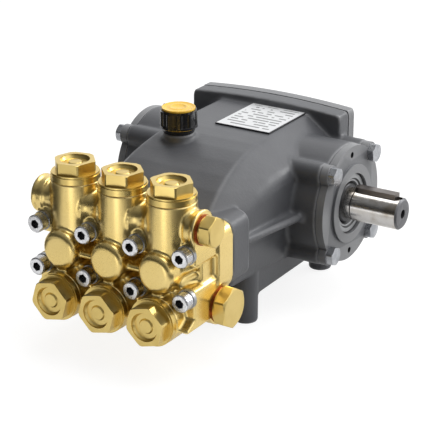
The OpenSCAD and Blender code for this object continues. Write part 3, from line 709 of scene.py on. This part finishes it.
def caps_and_plugs():
    turned = [(row + "_cap_" + place, axis) for row, axis in (("discharge", "Z"), ("suction", "Y"))
              for place in ("left", "centre", "right")]
    for node, axis in turned + [("outlet_plug", "X"), ("inlet_plug", "X")]:
        machined(node, turned_brass(node, axis), edge=0.35 * MM)
    machined("drain_plug", turned_brass("drain_plug", "Y"), edge=0.3 * MM)
    red = copper()
    for node in ("outlet_plug_washer", "inlet_plug_washer", "drain_plug_washer"):
        machined(node, red, edge=0.25 * MM)


def fastenings():
    plating = zinc()
    for node in ("rear_cover_bolts", "drive_cover_bolts", "blind_cover_bolts", "sight_glass_ring"):
        machined(node, plating, edge=0.3 * MM)
    hollow = painted_hollow_shade()
    dark = washer_steel()
    for row in ("upper", "lower"):
        screws = machined("head_screws_" + row, screw_steel(row), edge=0.3 * MM)
        first, pitch, head_r = screw_row(row)

        def in_socket(place, normal):
            turns = (place.x - first.x) / pitch
            across = (turns - round(turns)) * pitch
            inside = math.hypot(across, place.z - first.z) < SOCKET_SHARE * head_r
            return inside and place.y > first.y + SOCKET_INSET and normal.z < SOCKET_LIT_WALL

        # The sockets get painted shade; their lit lower wall keeps the steel.
        second_finish(screws, hollow, in_socket)
        machined("washers_" + row, dark, edge=0.3 * MM)


def drive_end():
    shaft = machined("crankshaft", ground_steel(), edge=0.3 * MM, body="crankshaft", flats=False)
    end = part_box("crankshaft")[1].x
    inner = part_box("shaft_seal")[0].x

    def off_axis(place):
        return math.hypot(place.y - SHAFT_AXIS.y, place.z - SHAFT_AXIS.z)

    def on_end_face(place, normal):
        return normal.x > END_FACE_TILT and place.x > end - END_FACE_DEPTH

    def in_tapped_end(place, normal):
        return end - TAPPED_END_DEPTH < place.x < end - TAPPED_END_LIP and off_axis(place) < TAPPED_END_R

    def under_lip(place, normal):
        return inner < place.x < end - JOURNAL_TO_END and (off_axis(place) > JOURNAL_R or normal.x > WALL_TILT)

    hollow = painted_hollow_shade()
    # The end face gets a darker grey as painted shade; the tapped end and the shaft under the seal's lip get
    # painted shade.
    second_finish(shaft, shaded_end_steel(), on_end_face)
    second_finish(shaft, hollow, in_tapped_end)
    second_finish(shaft, hollow, under_lip)
    machined("shaft_key", key_steel(), edge=0.35 * MM, body="crankshaft")
    machined("shaft_seal", seal_finish(), edge=0.25 * MM)


def filler_disc():
    """The yellow disc with a raised rim and a plain raised ring, stepped inwards from its edge."""
    disc = machined("filler_cap_disc", yellow_plastic(), edge=0.4 * MM)
    top = max(vertex.co.z for vertex in disc.data.vertices)
    pick_faces(disc, lambda place, normal: normal.z > 0.9 and place.z > top - 0.05 * MM)
    for inset, rise in DISC_STEPS:
        bpy.ops.mesh.inset(thickness=inset * MM, depth=0)
        bpy.ops.transform.translate(value=(0, 0, rise * MM))
    bpy.ops.object.mode_set(mode="OBJECT")
    bpy.ops.object.shade_smooth_by_angle(angle=SMOOTH_ANGLE)


def filler_gasket():
    """The thin yellow gasket that shows under the cap's lip."""
    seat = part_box("filler_neck_ring")[1].z
    bpy.ops.object.select_all(action="DESELECT")
    bpy.ops.mesh.primitive_cylinder_add(vertices=64, radius=GASKET_R, depth=GASKET_DEPTH,
                                        location=(FILLER_AXIS.x, FILLER_AXIS.y, seat + GASKET_RISE))
    gasket = bpy.context.object
    gasket.name = "filler_gasket"
    bpy.ops.object.transform_apply(location=True, rotation=True, scale=True)
    shape_with(gasket, "BEVEL", width=0.15 * MM, segments=2, limit_method="ANGLE")
    bpy.ops.object.shade_smooth_by_angle(angle=SMOOTH_ANGLE)
    finish_piece(gasket, yellow_plastic(), None)


def filler_and_plate():
    black = black_plastic()
    machined("filler_cap", black, edge=0.3 * MM)
    machined("filler_neck_ring", black, edge=0.3 * MM)
    filler_disc()
    filler_gasket()
    machined("rating_plate", plate_print(), edge=0.2 * MM)
    machined("sight_glass", sight_glass_finish(), edge=0.4 * MM)


# Studio
def area_lamp(name, place, target, width, height, power):
    lamp = bpy.data.lights.new(name, "AREA")
    lamp.shape = "RECTANGLE"
    lamp.size = width
    lamp.size_y = height
    lamp.energy = power
    holder = bpy.data.objects.new(name, lamp)
    holder.location = place
    holder.rotation_euler = (Vector(target) - Vector(place)).to_track_quat("-Z", "Y").to_euler()
    bpy.context.scene.collection.objects.link(holder)
    return holder


def floor_sheet(name, length, place, material):
    """A flat sheet of the studio, which isn't part of the pump."""
    bpy.ops.mesh.primitive_plane_add(size=length, location=place)
    sheet = bpy.context.object
    sheet.name = name
    sheet.data.materials.append(material)
    return sheet


def black_flag(name, low, high, cloth):
    """A black panel laid just over the floor, which only polished metal sees."""
    centre = ((low[0] + high[0]) / 2, (low[1] + high[1]) / 2, FLAG_HEIGHT)
    flag = floor_sheet(name, 1, centre, cloth)
    flag.scale = (high[0] - low[0], high[1] - low[1], 1)
    bpy.ops.object.transform_apply(location=True, rotation=True, scale=True)
    flag.visible_camera = flag.visible_diffuse = flag.visible_shadow = flag.visible_transmission = False


def studio_air():
    """Soft light from the whole room: a pale wall behind and to the right, dark behind the camera."""
    world = bpy.data.worlds.new("studio_air")
    bpy.context.scene.world = world
    world.use_nodes = True
    air = Graph(world.node_tree)
    way = air.node("ShaderNodeTexCoord", output="Generated")
    across, depth, height = (air.node("ShaderNodeSeparateXYZ", inputs={0: way}, output=i) for i in range(3))
    wall = air.step(depth + WALL_TURN * across, -0.3, 0.55)
    above = air.step(height, 0.3, 0.95)
    facing = air.node("ShaderNodeVectorMath", {"operation": "DOT_PRODUCT"}, {0: way, 1: GLOW_WAY}, output="Value")
    glow = facing.at_least(0.0).power(GLOW_FOCUS)
    background = world.node_tree.nodes["Background"]
    air.feed(background.inputs["Strength"], AIR_LOW + AIR_WALL * wall + AIR_ABOVE * above + AIR_GLOW * glow)
    air.feed(background.inputs["Color"], AIR_COLOUR)


def studio():
    heart = (0.0, -0.05, 0.07)
    area_lamp("overhead_softbox", (0.1, 0.15, 1.25), heart, width=0.9, height=0.6, power=5)
    area_lamp("rear_softbox", (0.75, 0.95, 0.7), heart, width=0.5, height=0.4, power=5)
    low = area_lamp("low_front_strip", (0.03, -0.42, 0.03), (0.0, -0.15, 0.09), width=0.1, height=0.14, power=0.045)
    low.visible_camera = False
    studio_air()
    floor_sheet("studio_floor", 12, (0, 0, 0), floor_paper())
    cloth = flag_cloth()
    black_flag("right_flag", (0.19, -0.6), (1.2, 0.0), cloth)
    black_flag("left_flag", (-1.2, -0.6), (-0.22, -0.12), cloth)


def camera():
    lens = bpy.data.cameras.new("photo_camera")
    lens.sensor_width = SENSOR_MM
    lens.lens = FOCAL_PIXELS / IMAGE_PIXELS * SENSOR_MM
    lens.clip_start = CLIP_START
    holder = bpy.data.objects.new("photo_camera", lens)
    holder.location = CAMERA_PLACE
    holder.rotation_euler = (math.radians(90 - CAMERA_ELEVATION), 0, math.radians(CAMERA_AZIMUTH))
    bpy.context.scene.collection.objects.link(holder)
    bpy.context.scene.camera = holder


castings()
caps_and_plugs()
fastenings()
drive_end()
filler_and_plate()
studio()
camera()
bpy.context.scene.view_settings.view_transform = "Standard"
